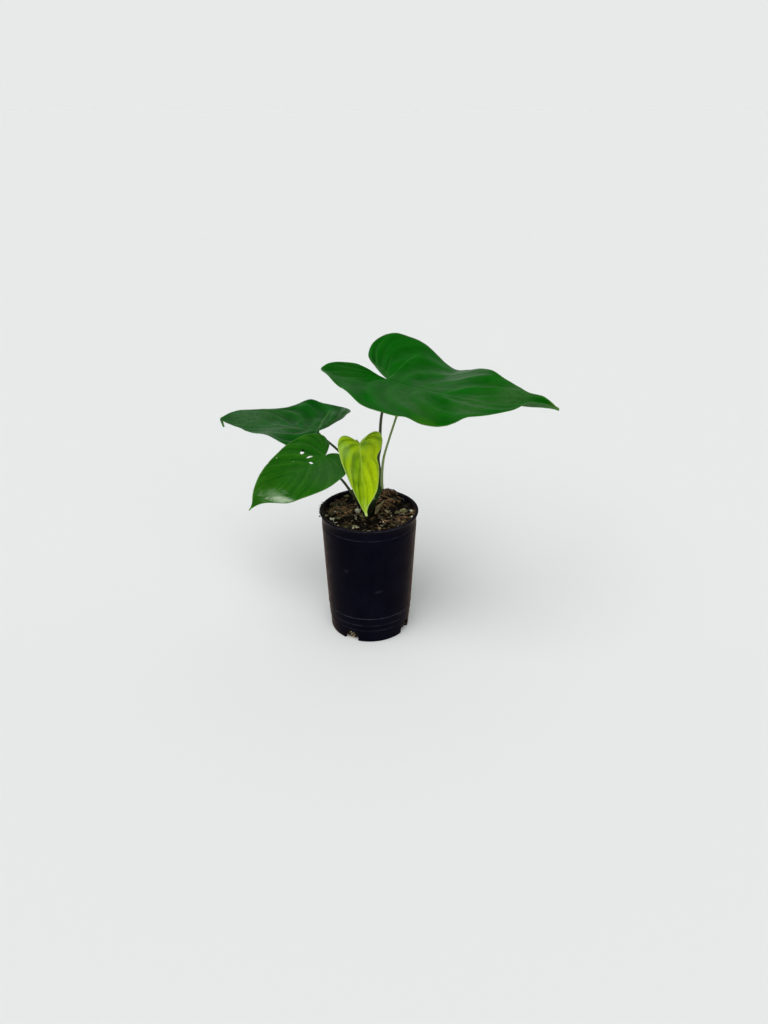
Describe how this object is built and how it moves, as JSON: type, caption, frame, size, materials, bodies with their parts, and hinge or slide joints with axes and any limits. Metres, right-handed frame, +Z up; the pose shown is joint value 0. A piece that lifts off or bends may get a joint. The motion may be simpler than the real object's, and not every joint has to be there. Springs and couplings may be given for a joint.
{
  "type": "potted anthurium balaoanum",
  "caption": "Young heart-leaved aroid house plant with drawn-out leaf tips on slender petioles, growing in dark potting mix in a tapered nursery pot with drainage notches.",
  "frame": {"origin": "middle of the pot's underside, on the surface that it stands on", "axes": "+Z up along the pot's axis, -Y towards the viewer of the picture, +X to that viewer's right, where the largest leaf points"},
  "size_m": [0.3177, 0.1707, 0.2904],
  "materials": {
    "black_plastic": "satin black moulded plastic with light scuffs and dust",
    "potting_mix": "coarse dark bark, coir and perlite mix",
    "stem": "green living stem, slightly ridged",
    "dry_sheath": "dry olive-brown leaf sheath",
    "petiole": "smooth olive-green leaf stalk",
    "young_stalk": "smooth pale green young stalk",
    "young_leaf": "satin lime-green new leaf with paler grooved veins",
    "dark_leaf": "satin mid to dark green leaf with lighter veins and a pale thin edge",
    "blue_leaf": "satin bluish dark green leaf"
  },
  "bodies": {
    "root": {"pot": "black_plastic", "potting_mix": "potting_mix", "stem": "stem", "dry_sheath": "dry_sheath", "petiole_large": "petiole", "petiole_upper": "petiole", "petiole_lower": "petiole", "petiole_young": "young_stalk", "stalk_rolled": "young_stalk", "leaf_rolled": "young_leaf", "blade_large": "dark_leaf", "blade_upper": "blue_leaf", "blade_lower": "dark_leaf", "blade_young": "young_leaf"}
  },
  "joints": []
}
